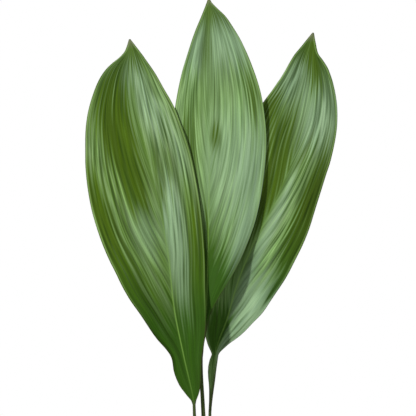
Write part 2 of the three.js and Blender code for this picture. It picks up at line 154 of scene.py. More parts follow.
pot_high = np.array(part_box("pot")[1]) / MM
POT_HEIGHT = pot_high[2]
RIM_RADIUS = pot_high[0]
BAND_FOOT = POT_HEIGHT - 32
FOOT_RADIUS = 58
WALL = 7
FLOOR = 10
DRAIN_RADIUS = 8
BODY_TOP_RADIUS = RIM_RADIUS - 8
INSIDE_TOP_RADIUS = RIM_RADIUS - 8
INSIDE_FOOT_RADIUS = FOOT_RADIUS - WALL


def inside_radius(z):
    """The radius of the pot's straight inner wall, which widens evenly from the floor to the rim."""
    share = (z - FLOOR) / (POT_HEIGHT - FLOOR)
    return INSIDE_FOOT_RADIUS + (INSIDE_TOP_RADIUS - INSIDE_FOOT_RADIUS) * share


def clay():
    """Fired red earthenware: matte and porous, fine grit, chalky bloom where water has dried."""
    material, tree, shader = new_material("unglazed_earthenware")
    place = add(tree, "TexCoord").outputs["Object"]
    cloud = add(tree, "TexNoise", {"Vector": place, "Scale": 1 / (60 * MM), "Detail": 5.0})
    grit = add(tree, "TexNoise", {"Vector": place, "Scale": 1 / (1.2 * MM), "Detail": 4.0})
    body = add(tree, "ValToRGB", {"Fac": cloud},
               stops=((0.3, "#a9603f"), (0.55, "#bb7350"), (0.75, "#c68362")))
    specks = add(tree, "ValToRGB", {"Fac": grit}, stops=((0.35, "#8f4f35"), (0.5, "#ffffff")))
    fired = add(tree, "Mix", {"Factor": 0.35, 6: body, 7: specks}, data_type="RGBA", blend_type="MULTIPLY")
    stretched = add(tree, "Mapping", {"Vector": place, "Scale": (1, 1, 0.6)})
    salts = add(tree, "TexNoise",
                {"Vector": stretched, "Scale": 1 / (26 * MM), "Detail": 8.0, "Roughness": 0.7})
    height = add(tree, "SeparateXYZ", {"Vector": place}).outputs["Z"]
    low_down = add(tree, "MapRange", {"Value": height, "From Max": 90 * MM, "To Min": 0.12, "To Max": -0.05})
    pale_wash = add(tree, "Math", {0: salts, 1: low_down}, operation="ADD")
    bloomed = add(tree, "MapRange", {"Value": pale_wash, "From Min": 0.56, "From Max": 0.72, "To Max": 0.55})
    chalky = add(tree, "Mix", {"Factor": bloomed, 6: fired.outputs[2], 7: linear("#dcc6b2")},
                 data_type="RGBA")
    flattened = add(tree, "Mapping", {"Vector": place, "Scale": (0.04, 0.04, 1)})
    turning = add(tree, "TexNoise", {"Vector": flattened, "Scale": 1 / (2.2 * MM), "Detail": 2.0})
    rings = add(tree, "Bump", {"Height": turning, "Strength": 0.35, "Distance": 0.35 * MM})
    grain = add(tree, "Bump", {"Height": grit, "Strength": 0.5, "Distance": 0.25 * MM, "Normal": rings})
    feed(shader, {"Base Color": chalky.outputs[2], "Roughness": 0.86, "Specular IOR Level": 0.3,
                  "Normal": grain})
    return material


def throw_pot():
    """A surface of revolution: the rounded profile turned round Z, its radius stirred by throwing rings."""
    corners = [
        (DRAIN_RADIUS, 0, 1.0),
        (FOOT_RADIUS, 0, 2.5),
        (BODY_TOP_RADIUS, BAND_FOOT - 1, 3.0),
        (RIM_RADIUS - 2, BAND_FOOT, 2.5),
        (RIM_RADIUS, POT_HEIGHT, 3.5),
        (INSIDE_TOP_RADIUS, POT_HEIGHT, 3.0),
        (INSIDE_FOOT_RADIUS, FLOOR, 6.0),
        (DRAIN_RADIUS, FLOOR, 1.0),
    ]
    outline = rounded([corner[:2] for corner in corners], [corner[2] for corner in corners])
    fine = []
    for start, end in zip(outline, np.roll(outline, -1, axis=0)):
        count = max(1, int(np.linalg.norm(end - start) / 2.0))
        fine.append(start + (end - start) * np.linspace(0, 1, count, endpoint=False)[:, None])
    fine = np.vstack(fine)
    turn = circle(160)
    radius, z = fine[:, :1], fine[:, 1:]
    wobble = 0.1 * np.sin(z / 1.3) + 0.12 * np.sin(2 * turn + z / 40) + 0.06 * np.sin(z / 0.55 + 3)
    wobble = np.where(radius > DRAIN_RADIUS + 2, wobble - 0.25, 0)
    radius = radius + np.where((z > 1) & (z < POT_HEIGHT - 1), wobble, 0)
    points = np.stack([radius * np.cos(turn), radius * np.sin(turn), z + 0 * turn], axis=-1)
    quads = grid_quads(len(fine) + 1, len(turn), around=True) % (len(fine) * len(turn))
    return mesh_piece("pot_clay", points.reshape(-1, 3), quads.tolist(), clay(), "fired_clay")


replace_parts(throw_pot(), "pot")


# ---- Rhizome ----
# The creeping stem that the leaves grow from: pale, fleshy and jointed, with a scar round it where each old
# scale fell. It lies half bare in the soil, swells under each shoot and sends down a few thick roots.
RHIZOME_RADIUS = 4.8
RHIZOME_LEVEL = 131.0
RHIZOME_COURSE = [[-30, -33], [-21, -20], [-15, -12], [-7, 0], [1, 12], [8, 20], [13, 29]]
JOINTS = 9
SHOOTS = {"left": (-15, -12), "centre": (-7, 0), "right": (1, 12)}
KNOB_RADIUS = 5.7
KNOB_TOP = RHIZOME_LEVEL + 8
ROOT_RADIUS = 1.3
SPAN_POINTS = 120
ROOTS = [
    [[-24, -24, 128], [-27, -30, 112], [-36, -33, 88], [-38, -38, 62]],
    [[-17, -15, 128], [-10, -22, 108], [-4, -32, 84], [-6, -36, 52]],
    [[-9, -3, 128], [-16, 2, 110], [-30, 6, 86], [-34, 14, 58]],
    [[-2, 8, 128], [8, 4, 106], [24, 2, 80], [28, -6, 48]],
    [[6, 18, 128], [4, 26, 110], [12, 36, 86], [10, 42, 60]],
]


def course(points):
    """Points and lengths along a centripetal Catmull-Rom curve: each span is the cubic whose end slopes come
    from its neighbours, weighted by the square root of the distances between them."""
    points = np.asarray(points, float)
    padded = np.vstack([2 * points[0] - points[1], points, 2 * points[-1] - points[-2]])
    t = np.linspace(0, 1, SPAN_POINTS, endpoint=False)[:, None]
    out = []
    for a, b, c, d in zip(padded, padded[1:], padded[2:], padded[3:]):
        ab, bc, cd = (np.linalg.norm(q - p) ** 0.5 for p, q in ((a, b), (b, c), (c, d)))
        start = bc * ((b - a) / ab - (c - a) / (ab + bc) + (c - b) / bc)
        end = bc * ((c - b) / bc - (d - b) / (bc + cd) + (d - c) / cd)
        bend = (3 * (c - b) - 2 * start - end) * t**2
        out.append(b + start * t + bend + (2 * (b - c) + start + end) * t**3)
    line = np.vstack([*out, points[-1:]])
    lengths = np.concatenate([[0], np.cumsum(np.linalg.norm(np.diff(line, axis=0), axis=1))])
    return line, lengths


def along_course(line, lengths, at):
    """The points of a course at the given lengths along it."""
    return np.stack([np.interp(at, lengths, line[:, k]) for k in range(3)], axis=-1)


def unit(vectors):
    """Vectors divided by their lengths."""
    return vectors / np.linalg.norm(vectors, axis=-1, keepdims=True)


def capped(rings, first_pole, last_pole):
    """Points and faces of a skin over rings of points, closed at each end by a fan to a pole."""
    count, sides = rings.shape[:2]
    here = np.arange(sides)
    ahead = np.roll(here, -1)
    last = (count - 1) * sides
    first, final = np.full(sides, count * sides), np.full(sides, count * sides + 1)
    fans = [np.stack([first, ahead, here], axis=-1), np.stack([final, here + last, ahead + last], axis=-1)]
    points = np.vstack([rings.reshape(-1, 3), first_pole, last_pole])
    return points, [*grid_quads(count, sides, around=True).tolist(), *np.vstack(fans).tolist()]


def tube(line, radii):
    """A round body: rings square to the line. radii has a row for each ring, of one radius for each side."""
    along = unit(np.gradient(line, axis=0))
    level = np.where(np.abs(along[:, 2:]) < 0.8, [0.0, 0, 1], [1.0, 0, 0])
    side = unit(np.cross(level, along))
    up = np.cross(along, side)
    turn = circle(radii.shape[1])[:, None]
    rings = line[:, None] + radii[..., None] * (side[:, None] * np.cos(turn) + up[:, None] * np.sin(turn))
    return capped(rings, line[0], line[-1])


def joined(bodies):
    """The points and faces of several bodies as one list of points and one of faces."""
    starts = np.cumsum([0] + [len(points) for points, _ in bodies])
    faces = [[corner + start for corner in face] for (_, some), start in zip(bodies, starts) for face in some]
    return np.vstack([points for points, _ in bodies]), faces


def rhizome_course():
    """The stem's axis: a smooth line through its course, a little lower at every other point."""
    points = [[x, y, RHIZOME_LEVEL - 0.7 * (k % 2)] for k, (x, y) in enumerate(RHIZOME_COURSE)]
    line, lengths = course(points)
    return along_course(line, lengths, np.linspace(0, lengths[-1], 280))


def scarred_stem():
    """The stem: its radius swells between joints, and each joint is a groove beside a thin raised lip."""
    line = rhizome_course()
    t = np.linspace(0, 1, len(line))[:, None]
    turn = circle(48)
    beat = t * JOINTS + 0.06 * np.sin(2 * turn + 5 * t)
    near = beat - np.round(beat)
    swell = 0.25 * np.cos(2 * np.pi * near) - 0.25 - 0.45 * np.exp(-((near / 0.06) ** 2))
    lip = 0.3 * np.exp(-(((near - 0.12) / 0.04) ** 2))
    lumps = 0.12 * np.sin(3 * turn + 9 * t) + 0.08 * np.sin(5 * turn - 31 * t)
    ends = np.minimum(1, np.minimum(0.35 + 6 * t, 0.3 + 5 * (1 - t)))
    return tube(line, (RHIZOME_RADIUS + 0.1 + swell + lip + lumps) * ends)


def shoot_knob(x, y):
    """The swelling under a shoot: a cone that widens upwards, ringed by the scars of its fallen scales."""
    z = np.linspace(RHIZOME_LEVEL - 1, KNOB_TOP, 60)
    share = (z - z[0]) / (z[-1] - z[0])
    radius = RHIZOME_RADIUS - 1 + (KNOB_RADIUS - RHIZOME_RADIUS + 1) * share**0.8
    radius -= 0.25 * np.abs(np.sin(np.pi * share * 5)) ** 6 + 1.0 * np.maximum(0, share - 0.9) ** 2 * 60
    turn = circle(48)
    line = np.stack([x + 0 * z, y + 0 * z, z], axis=-1)
    return tube(line, radius[:, None] + 0.1 * np.sin(3 * turn + z[:, None] / 2))


def root(points, phase):
    """A fleshy root: it thins evenly and its radius wavers."""
    line, lengths = course(points)
    line = along_course(line, lengths, np.linspace(0, lengths[-1], 90))
    t = np.linspace(0, 1, 90)[:, None]
    waver = 0.08 * np.sin(60 * t + phase) + 0.05 * np.sin(143 * t)
    return tube(line, ROOT_RADIUS * (1 - 0.4 * t) + waver + np.zeros((1, 14)))


def rhizome_skin():
    """Living root skin: creamy brown, browner in the scars, a little moist."""
    material, tree, shader = new_material("rhizome_skin")
    place = add(tree, "TexCoord").outputs["Object"]
    blotch = add(tree, "TexNoise", {"Vector": place, "Scale": 1 / (7 * MM), "Detail": 5.0})
    skin = add(tree, "ValToRGB", {"Fac": blotch},
               stops=((0.3, "#6b543a"), (0.5, "#947954"), (0.7, "#b59c74")))
    hollow = add(tree, "NewGeometry").outputs["Pointiness"]
    scar = add(tree, "MapRange",
               {"Value": hollow, "From Min": 0.42, "From Max": 0.5, "To Min": 0.7, "To Max": 0.0})
    scarred = add(tree, "Mix", {"Factor": scar, 6: skin, 7: linear("#4b3625")}, data_type="RGBA")
    fibre = add(tree, "TexNoise", {"Vector": place, "Scale": 1 / (0.8 * MM), "Detail": 3.0})
    bump = add(tree, "Bump", {"Height": fibre, "Strength": 0.5, "Distance": 0.2 * MM})
    feed(shader, {"Base Color": scarred.outputs[2], "Roughness": 0.62, "Normal": bump})
    return material


rhizome_parts = [scarred_stem(), *(shoot_knob(x, y) for x, y in SHOOTS.values())]
rhizome_parts += [root(points, phase) for phase, points in enumerate(ROOTS)]
rhizome = mesh_piece("rhizome_stem", *joined(rhizome_parts), rhizome_skin(), "rhizome_skin")
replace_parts(rhizome, "rhizome")


# ---- Soil ----
# Dark peat potting mix with bark and perlite in it, watered down to two fingers below the rim. Its top is
# lumpy, settles against the wall, and holds the creeping stem in a shallow bed.
SOIL_LEVEL = 130.0
SOIL_LUMP = 1.3
SOIL_GAP = 0.3
SOIL_SIDES = 300
CRUMBS = 2600
CRUMB_REACH = 80
soil_random = np.random.default_rng(5)
crumb_places = soil_random.uniform(-CRUMB_REACH, CRUMB_REACH, (CRUMBS, 2))
crumb_sizes = soil_random.uniform(0.9, 2.6, CRUMBS)
bed = rhizome_course()


def soil_height(x, y):
    """The height of the soil's top: slow lumps, then each crumb as a low dome, then the stem's bed, a round
    channel under its axis."""
    edge = inside_radius(SOIL_LEVEL) - SOIL_GAP
    calm = np.clip((edge - np.hypot(x, y)) / 8, 0, 1)
    lumps = (np.sin(x / 11 + 1.3) * np.cos(y / 13 - 0.4) + 0.6 * np.sin((x + y) / 7.5)
             + 0.5 * np.cos((x - 1.4 * y) / 6.2 + 0.8))
    place = np.stack([x, y], axis=-1)
    dome = np.zeros_like(x)
    for part in np.array_split(np.arange(len(crumb_sizes)), 26):
        away = ((place[..., None, :] - crumb_places[part]) ** 2).sum(-1)
        dome = np.maximum(dome, np.sqrt(np.maximum(0, crumb_sizes[part] ** 2 - away)).max(-1))
    top = SOIL_LEVEL + calm * lumps * SOIL_LUMP / 2 + (dome - 0.8) * np.clip(calm * 4, 0.3, 1) * 0.55
    away = ((place[..., None, :] - bed[::4, :2]) ** 2).sum(-1)
    under = bed[::4, 2][np.argmin(away, axis=-1)]
    width = RHIZOME_RADIUS + 0.9
    channel = under - np.sqrt(np.maximum(0, width**2 - away.min(-1)))
    return np.where(away.min(-1) < width**2, np.minimum(top, channel), top)


def fill_soil():
    """The soil's body: rings of its top from the middle to the wall, then rings down the wall to its foot."""
    turn = circle(SOIL_SIDES)
    edge = inside_radius(SOIL_LEVEL) - SOIL_GAP
    foot = FLOOR + SOIL_GAP
    radii = np.linspace(0.5, edge, 100)[:, None]
    x, y = radii * np.cos(turn), radii * np.sin(turn)
    top = np.stack([x, y, soil_height(x, y)], axis=-1)
    share = np.linspace(0.05, 1, 12)[:, None]
    radius = edge + (inside_radius(foot) - SOIL_GAP - edge) * share
    z = top[-1, :, 2] + (foot - top[-1, :, 2]) * share
    wall = np.stack([radius * np.cos(turn), radius * np.sin(turn), z], axis=-1)
    points, faces = capped(np.concatenate([top, wall]), [0, 0, top[0, :, 2].mean()], [0, 0, foot])
    return points, [face[::-1] for face in faces]


def turned(first, second, angles):
    """Two coordinates of each grain turned about the third axis by the grain's angle."""
    cosine, sine = np.cos(angles)[:, None], np.sin(angles)[:, None]
    return first * cosine - second * sine, first * sine + second * cosine


def lumps_of(count, sizes, shape, seed):
    """Many small angular grains as one mesh: each is a split octahedron, its corners pushed in and out at
    random, stretched to its shape, turned at random and laid on the soil's top."""
    random = np.random.default_rng(seed)
    corners = np.array([[1, 0, 0], [0, 1, 0], [-1, 0, 0], [0, -1, 0], [0, 0, 1], [0, 0, -1]], float)
    waist = unit(corners[[0, 1, 2, 3]] + corners[[1, 2, 3, 0]])
    high = unit(corners[[0, 1, 2, 3]] + corners[4])
    low = unit(corners[[0, 1, 2, 3]] + corners[5])
    base = np.vstack([corners, waist, high, low])
    faces = []
    for k in range(4):
        after = (k + 1) % 4
        for pole, ring, order in ((4, 10, 1), (5, 14, -1)):
            for face in ([k, 6 + k, ring + k], [6 + k, after, ring + after], [6 + k, ring + after, ring + k],
                         [pole, ring + k, ring + after]):
                faces.append(face[::order])
    where = random.uniform(-1, 1, (count * 3, 2)) * (inside_radius(SOIL_LEVEL) - 4)
    away = np.sqrt(((where[:, None] - bed[::4, :2]) ** 2).sum(-1)).min(-1)
    clear = (np.hypot(*where.T) < inside_radius(SOIL_LEVEL) - 4) & (away > RHIZOME_RADIUS + 2.5)
    where = where[clear][:count]
    size = random.uniform(*sizes, (len(where), 1, 1)) / 2
    stretch = np.array(shape) * random.uniform(0.75, 1.25, (len(where), 1, 3))
    grains = base * random.uniform(0.8, 1.15, (len(where), len(base), 1)) * stretch * size
    yaw, tip = random.uniform(0, 2 * np.pi, len(where)), random.normal(0, 0.35, len(where))
    x, y, z = np.moveaxis(grains, -1, 0)
    y, z = turned(y, z, tip)
    x, y = turned(x, y, yaw)
    level = soil_height(where[:, 0], where[:, 1])
    points = np.stack([x + where[:, :1], y + where[:, 1:], z + level[:, None] + 0.3 * size[:, :, 0]], axis=-1)
    starts = np.arange(len(where))[:, None, None] * len(base)
    return points.reshape(-1, 3), (np.array(faces) + starts).reshape(-1, 3).tolist()


def crumbly(name, *stops, grain=1.5):
    """Loose plant matter or grit: dull, broken in colour at the size of its grains."""
    material, tree, shader = new_material(name)
    place = add(tree, "TexCoord").outputs["Object"]
    tone = add(tree, "TexNoise", {"Vector": place, "Scale": 1 / (grain * MM), "Detail": 4.0})
    colour = add(tree, "ValToRGB", {"Fac": tone}, stops=stops)
    fine = add(tree, "TexNoise", {"Vector": place, "Scale": 1 / (0.5 * MM), "Detail": 3.0})
    bump = add(tree, "Bump", {"Height": fine, "Strength": 0.7, "Distance": 0.3 * MM})
    feed(shader, {"Base Color": colour, "Roughness": 0.95, "Specular IOR Level": 0.25, "Normal": bump})
    return material


peat = crumbly("damp_peat", (0.3, "#1f1610"), (0.5, "#33251b"), (0.7, "#4a382a"))
bark = crumbly("composted_bark", (0.3, "#3a2416"), (0.5, "#5a3a24"), (0.7, "#7a5435"), grain=3.0)
perlite = crumbly("perlite", (0.3, "#b9b3a6"), (0.6, "#e4e0d6"), grain=1.0)
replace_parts(mesh_piece("potting_soil", *fill_soil(), peat, "potting_soil"), "soil")
mesh_piece("soil_crumbs", *lumps_of(420, (1.6, 4.5), (1, 0.85, 0.7), 41), peat, "potting_soil")
mesh_piece("soil_bark", *lumps_of(110, (4.0, 10.0), (1, 0.5, 0.22), 42), bark, "potting_soil")
mesh_piece("soil_perlite", *lumps_of(60, (1.5, 3.2), (1, 0.9, 0.85), 43), perlite, "potting_soil")


# ---- Leaves ----
# Each leaf is one stalk and one long leathery blade, pleated along its many parallel veins. A waxy skin gives
# the upper face a satin gloss, the midrib stands out as a keel behind, and a thin dark line edges the blade.
#
# stalk and midrib are points on the leaf's line, from its foot on the rhizome. Other pairs are a value at a
# distance up the blade: left and right its half-widths, lift the slope of each half, curl how far back its
# margin bends past the share in roll, turn the whole blade's slope, and flow where the middle vein runs. wave
# is a height, a length and a phase. Two lists are soft patches: in the first the wax is duller and painted
# shade darkens the green, in the second painted sheen lays a pale grey-green over it.
REST = 0.3
BLADE = 0.6
STALK_DEPTH = 0.85
MIDRIB_ROUND = 5
FURROWS = -0.7 + 0.052 * np.arange(33)
VEIN_SPAN = 75
PATCH_CONTRAST = {"dull_and_shaded": 0.6, "pale_wash": 0.35}
LEAVES = [
    {
        "name": "left",
        "stalk": [[-15, -12], [-14.6, -13, 175], [-17, -14.5, 218], [-20.4, -14.5, 252]],
        "midrib": [[-21.4, -14, 269.5], [-32.3, -9, 318.3], [-42.6, -1.5, 367.2], [-49.7, 7, 426.9],
                   [-60.8, 14, 487.1], [-75.2, 23, 546.8], [-89.5, 36, 606.2], [-94, 48, 669.9]],
        "left": [[0, 2.6], [8, 7.1], [20, 12.1], [35, 14.4], [50, 13.6], [60, 16.7], [75.1, 24.8],
                 [100.2, 36], [120.5, 47.7], [140.9, 56.4], [181.8, 68.2], [222.8, 73.7], [253.4, 73.4],
                 [284, 69.3], [314.1, 62.1], [334.2, 54.4], [354.2, 43.7], [369.2, 35.1], [379.2, 27.4],
                 [386.2, 19.8], [392.2, 12.2], [399.2, 6.1], [413.2, 0.6]],
        "right": [[0, 3], [10, 8.6], [25, 13.4], [45, 19.2], [70.1, 28.6], [95.2, 34.5], [130.7, 37.8],
                  [202.3, 44], [253.4, 46.9], [273.8, 46.9], [304.1, 44.3], [324.1, 42], [344.2, 36.9],
                  [369.2, 28], [389.2, 16.6], [404.2, 6.7], [413.2, 0.6]],
        "lift": ([[0, 0.7], [60, 0.5], [110, 0.3], [170, 0.05], [240, 0], [300, 0.12], [350, 0.28],
                  [413, 0.2]],
                 [[0, 0.7], [50, 0.45], [100, 0.32], [200, 0.3], [300, 0.26], [413, 0.2]]),
        "curl": ([[0, 0], [60, -1], [120, -4], [200, -3], [250, 2], [300, 4], [350, 2], [413, 0]],
                 [[0, 0], [60, 1.5], [110, 4], [180, 3], [230, 1], [413, 0]]),
        "roll": (0.45, 0.68),
        "turn": [[0, 0.35], [50, 0.3], [100, 0.1], [150, 0], [413, 0]],
        "wave": [1.2, 130, 0.4],
        "stalk_radius": [2.6, 1.6],
        "flow": ([[0, -1.8], [50, -0.9], [80, -0.4], [110, -0.07], [140, 0.15], [170, 0.3], [200, 0.4],
                  [240, 0.45], [300, 0.5], [413, 0.5]],
                 [[0, -0.3], [50, 0], [110, 0.05], [140, 0.1], [170, 0.18], [240, 0.29], [300, 0.37],
                  [413, 0.5]]),
        "dull_and_shaded": [[-10, 0, 134, 2.5, 1.3], [152, 0.9, 78, 0.37, 1.05], [350, -0.56, 40, 0.34, 1.2],
                 [300, -0.38, 42, 0.26, 1.6], [245, -0.28, 32, 0.17, 1.2], [262, 0.16, 26, 0.1, 0.5],
                 [222, 0.1, 16, 0.1, 0.6], [398, 0.3, 20, 0.9, 0.7], [135, -0.9, 66, 0.3, 0.8],
                 [222, -0.97, 52, 0.24, 1.3], [352, 0.6, 14, 0.18, 0.35], [262, 0.46, 20, 0.16, 0.25]],
        "pale_wash": [[168, 0.32, 74, 0.28, 1.6], [335, 0.4, 46, 0.35, 0.9], [270, 0.75, 40, 0.16, 0.6],
                  [375, -0.2, 20, 0.6, 0.6], [190, -0.3, 36, 0.22, 0.5]],
        "greens": ("#334f00", "#507026", "#76965a"),
        "pleat": 0.34,
        "seed": 11,
    },
    {
        "name": "centre",
        "stalk": [[-7, 0], [-7.4, -0.5, 180], [-9.4, -1.5, 225], [-11.6, -2, 268], [-13.3, -2.4, 300]],
        "midrib": [[-13, -2, 322], [-9.8, -0.5, 344], [-7.2, 1.5, 375], [-5.9, 4, 424], [-4.6, 8, 490],
                   [-4.1, 12, 549.7], [-4.3, 17, 608.9], [-4.2, 25, 661.9], [-4.7, 38, 713.8]],
        "left": [[0, 2], [10, 3.4], [20, 6.2], [40, 11], [70, 21], [109.9, 33], [139.9, 40.5], [169.8, 44.9],
                 [199.3, 45.9], [228.9, 44.1], [267.8, 38.8], [306.5, 31.4], [335.4, 23.1], [355, 16.8],
                 [374.7, 8.9], [389.4, 3.2], [397.3, 0.6]],
        "right": [[0, 2.2], [15, 2], [30, 3], [45, 6], [60, 13], [90, 30], [119.9, 43], [149.8, 52.6],
                  [189.5, 59.6], [228.9, 62.7], [258, 61.1], [287.2, 56.6], [316.1, 47.6], [345.1, 35.4],
                  [364.8, 24.5], [374.7, 18.1], [384.5, 8.9], [391.4, 3], [397.3, 0.6]],
        "lift": ([[0, 0.5], [40, 0.2], [90, 0.06], [403, 0.03]],
                 [[0, 0.3], [40, 0.1], [90, 0.02], [403, 0.04]]),
        "curl": ([[0, 0], [397, 0]],
                 [[0, 0], [50, 2], [90, 5], [130, 7], [190, 5.5], [240, 3.5], [300, 4], [350, 1.5],
                  [397, 0]]),
        "roll": (0.5, 0.5),
        "turn": [[0, 0.6], [60, 0.6], [90, 0.42], [130, 0.25], [200, 0.2], [330, 0.2], [397, 0.12]],
        "wave": [1.5, 150, 2.1],
        "stalk_radius": [2.8, 1.9],
        "flow": ([[0, -1], [60, -0.2], [110, 0.1], [140, 0.16], [170, 0.23], [200, 0.32], [230, 0.41],
                  [290, 0.52], [397, 0.58]],
                 [[0, -1.4], [60, -0.6], [110, 0], [140, 0.16], [170, 0.29], [200, 0.39], [260, 0.48],
                  [397, 0.5]]),
        "dull_and_shaded": [[-10, -0.4, 156, 1, 1.8], [15, 0.5, 78, 0.9, 1.4], [238, 0.11, 16, 0.1, 0.85],
                 [228, -0.52, 50, 0.3, 0.55], [342, -0.15, 30, 0.25, 0.8], [385, 0, 22, 2, 0.9],
                 [285, 0.84, 36, 0.14, 0.7], [300, 0.3, 40, 0.3, 0.3], [290, -0.12, 36, 0.3, 0.3]],
        "pale_wash": [[205, 0.3, 75, 0.45, 0.65], [340, -0.5, 30, 0.5, 1.3], [350, 0.6, 34, 0.6, 1.5],
                  [185, 0.85, 80, 0.35, 0.7], [122, 0.95, 34, 0.3, 1], [315, 0.1, 30, 0.3, 0.4]],
        "greens": ("#43651e", "#64874a", "#80a466"),
        "pleat": 0.18,
        "seed": 23,
    },
    {
        "name": "right",
        "stalk": [[1, 12], [0.6, 12, 175], [-2, 13.5, 222], [-3.7, 15.5, 251], [-0.6, 18.5, 285]],
        "midrib": [[2.4, 21, 316.4], [6.8, 22.5, 333.5], [15, 24, 354.6], [26.4, 23.5, 394],
                   [40.7, 13.5, 431.3], [58.4, 9.5, 467], [75, 7.5, 502.7], [89.6, 5.5, 540.1],
                   [102.8, 7, 577.7], [109.6, 12, 615.2], [111.5, 24, 674.9]],
        "left": [[-75, 1.6], [-55, 1.7], [-40, 3], [-30, 4.6], [-22, 6], [-12, 6.3], [-5, 5.3], [0, 4],
                 [10, 11.3], [20, 17.7], [32.1, 23.1], [50.1, 27.1], [100.3, 35.5], [150.3, 44.3],
                 [199.8, 51.6], [239.3, 54.8], [264.1, 54.5], [288.9, 51], [308.8, 43.6], [334.1, 32.2],
                 [354.6, 21.9], [367, 12.4], [382.4, 0.6]],
        "right": [[-75, 1.6], [-40, 2], [-20, 2.8], [-5, 3.5], [2, 3.8], [10, 8], [25, 16.6], [45.1, 27.6],
                  [60.2, 36.1], [80.2, 42], [110.3, 47.9], [140.3, 49], [170.2, 47.7], [199.8, 43.7],
                  [229.4, 41], [249.2, 39.8], [278.9, 35], [308.8, 27.8], [339.2, 16.9], [349.5, 10.9],
                  [357.7, 5.5], [370, 2.8], [382.4, 0.6]],
        "lift": ([[0, 0.5], [60, 0.3], [120, 0.2], [200, 0.12], [290, 0.05], [382, 0.03]],
                 [[0, 0.4], [40, 0.36], [200, 0.36], [280, 0.15], [382, 0.05]]),
        "curl": ([[0, 0], [382, 0]],
                 [[0, 0], [50, 1], [90, 9], [140, 15], [220, 14], [250, 7], [290, 0], [382, 0]]),
        "roll": (0.5, 0.3),
        "turn": [[-75, 0], [0, 0], [150, 0.03], [250, 0.15], [300, 0.22], [382, 0.2]],
        "wave": [1.2, 120, 1.2],
        "stalk_radius": [2.6, 1.6],
        "flow": ([[-75, -1], [0, -1], [60, -0.2], [110, 0.1], [140, 0.2], [200, 0.39], [260, 0.5],
                  [382, 0.52]],
                 [[-75, -1.3], [0, -1.3], [60, -0.4], [110, 0.02], [140, 0.15], [200, 0.35], [260, 0.47],
                  [382, 0.5]]),
        "dull_and_shaded": [[24, -0.25, 26, 0.6, 1.1], [60, -0.35, 100, 0.55, 0.55], [210, -0.32, 88, 0.36, 1.3],
                 [182, 0.86, 80, 0.34, 1.4], [240, 0.25, 24, 0.18, 0.5], [336, 0.2, 20, 0.4, 1],
                 [366, 0.2, 22, 1.2, 1.4], [280, -0.95, 34, 0.34, 1.3], [90, 0.95, 28, 0.12, 1]],
        "pale_wash": [[325, -0.5, 30, 0.5, 1.4], [50, 0.75, 52, 0.7, 1.6], [290, 0.62, 36, 0.5, 1.3],
                  [150, 0.18, 80, 0.13, 1], [270, -0.1, 34, 0.35, 0.8]],
        "greens": ("#39590f", "#64874a", "#84a667"),
        "pleat": 0.34,
        "seed": 37,
    },
]


def smooth_through(pairs, x):
    """A smooth value through pairs (x, value): cubic spans, with the slope between its neighbours at each."""
    known, value = np.asarray(pairs, float).T
    slope = np.empty_like(value)
    slope[1:-1] = (value[2:] - value[:-2]) / (known[2:] - known[:-2])
    slope[0] = (value[1] - value[0]) / (known[1] - known[0])
    slope[-1] = (value[-1] - value[-2]) / (known[-1] - known[-2])
    x = np.clip(x, known[0], known[-1])
    k = np.clip(np.searchsorted(known, x, side="right") - 1, 0, len(known) - 2)
    span = known[k + 1] - known[k]
    t = (x - known[k]) / span
    rise = 3 * t**2 - 2 * t**3
    out = t**3 - 2 * t**2 + t
    home = t**3 - t**2
    return (1 - rise) * value[k] + rise * value[k + 1] + span * (out * slope[k] + home * slope[k + 1])


def smooth_step(x, low, high):
    """0 below low, 1 above high, and a cubic ease between them."""
    t = np.clip((x - low) / (high - low), 0, 1)
    return t * t * (3 - 2 * t)


def streaks(across, along, seed, count, cycles, lengths):
    """A sum of long waves that run with the veins: each has a random number of cycles across the blade, a
    slow drift along it and a random phase."""
    random = np.random.default_rng(seed)
    total = np.zeros(np.broadcast(across, along).shape)
    for _ in range(count):
        turns = random.uniform(*cycles)
        length = random.uniform(*lengths) * random.choice([-1, 1])
        phase, strength = random.uniform(0, 2 * np.pi), random.uniform(0.5, 1)
        total += strength * np.sin(np.pi * turns * across + 2 * np.pi * along / length + phase)
    return total / math.sqrt(count)


def vein_place(leaf, s, v):
    """Which vein a point lies on: 1 is the margin's and numbers fall inwards. flow is the share of the
    half-width at which vein 0.5 runs, so new veins leave the midrib as the blade widens. The second result is
    the part of the half-width that one whole number spans."""
    flow = np.where(v > 0, smooth_through(leaf["flow"][1], s), smooth_through(leaf["flow"][0], s))
    return 1 - (1 - np.abs(v)) / (2 * (1 - flow)), 2 * (1 - flow)


def vein_grooves(leaf, s, v, half):
    """Narrow furrows between the veins: each is a bell across of a random width, and its depth comes and goes
    along the blade as two sines of random length. They run out 12 mm from the midrib."""
    place, stretch = vein_place(leaf, s, v)
    total = np.zeros(place.shape)
    for side in (-1, 1):
        random = np.random.default_rng(leaf["seed"] + 50 + side)
        for at in FURROWS + random.uniform(-0.02, 0.02, len(FURROWS)):
            width = random.uniform(0.7, 1.25)
            first, second = random.uniform(45, 110), random.uniform(110, 260)
            phases = random.uniform(0, 2 * np.pi, 2)
            depth = 0.45 + 0.45 * np.sin(2 * np.pi * s / first + phases[0])
            depth = np.clip(depth + 0.4 * np.sin(2 * np.pi * s / second + phases[1]), 0, 1.2)
            away = (place - at) * stretch * half
            total += np.where(v * side > 0, depth * np.exp(-((away / width) ** 2)), 0)
    return total * smooth_step(np.abs(v) * half, 0, 12)


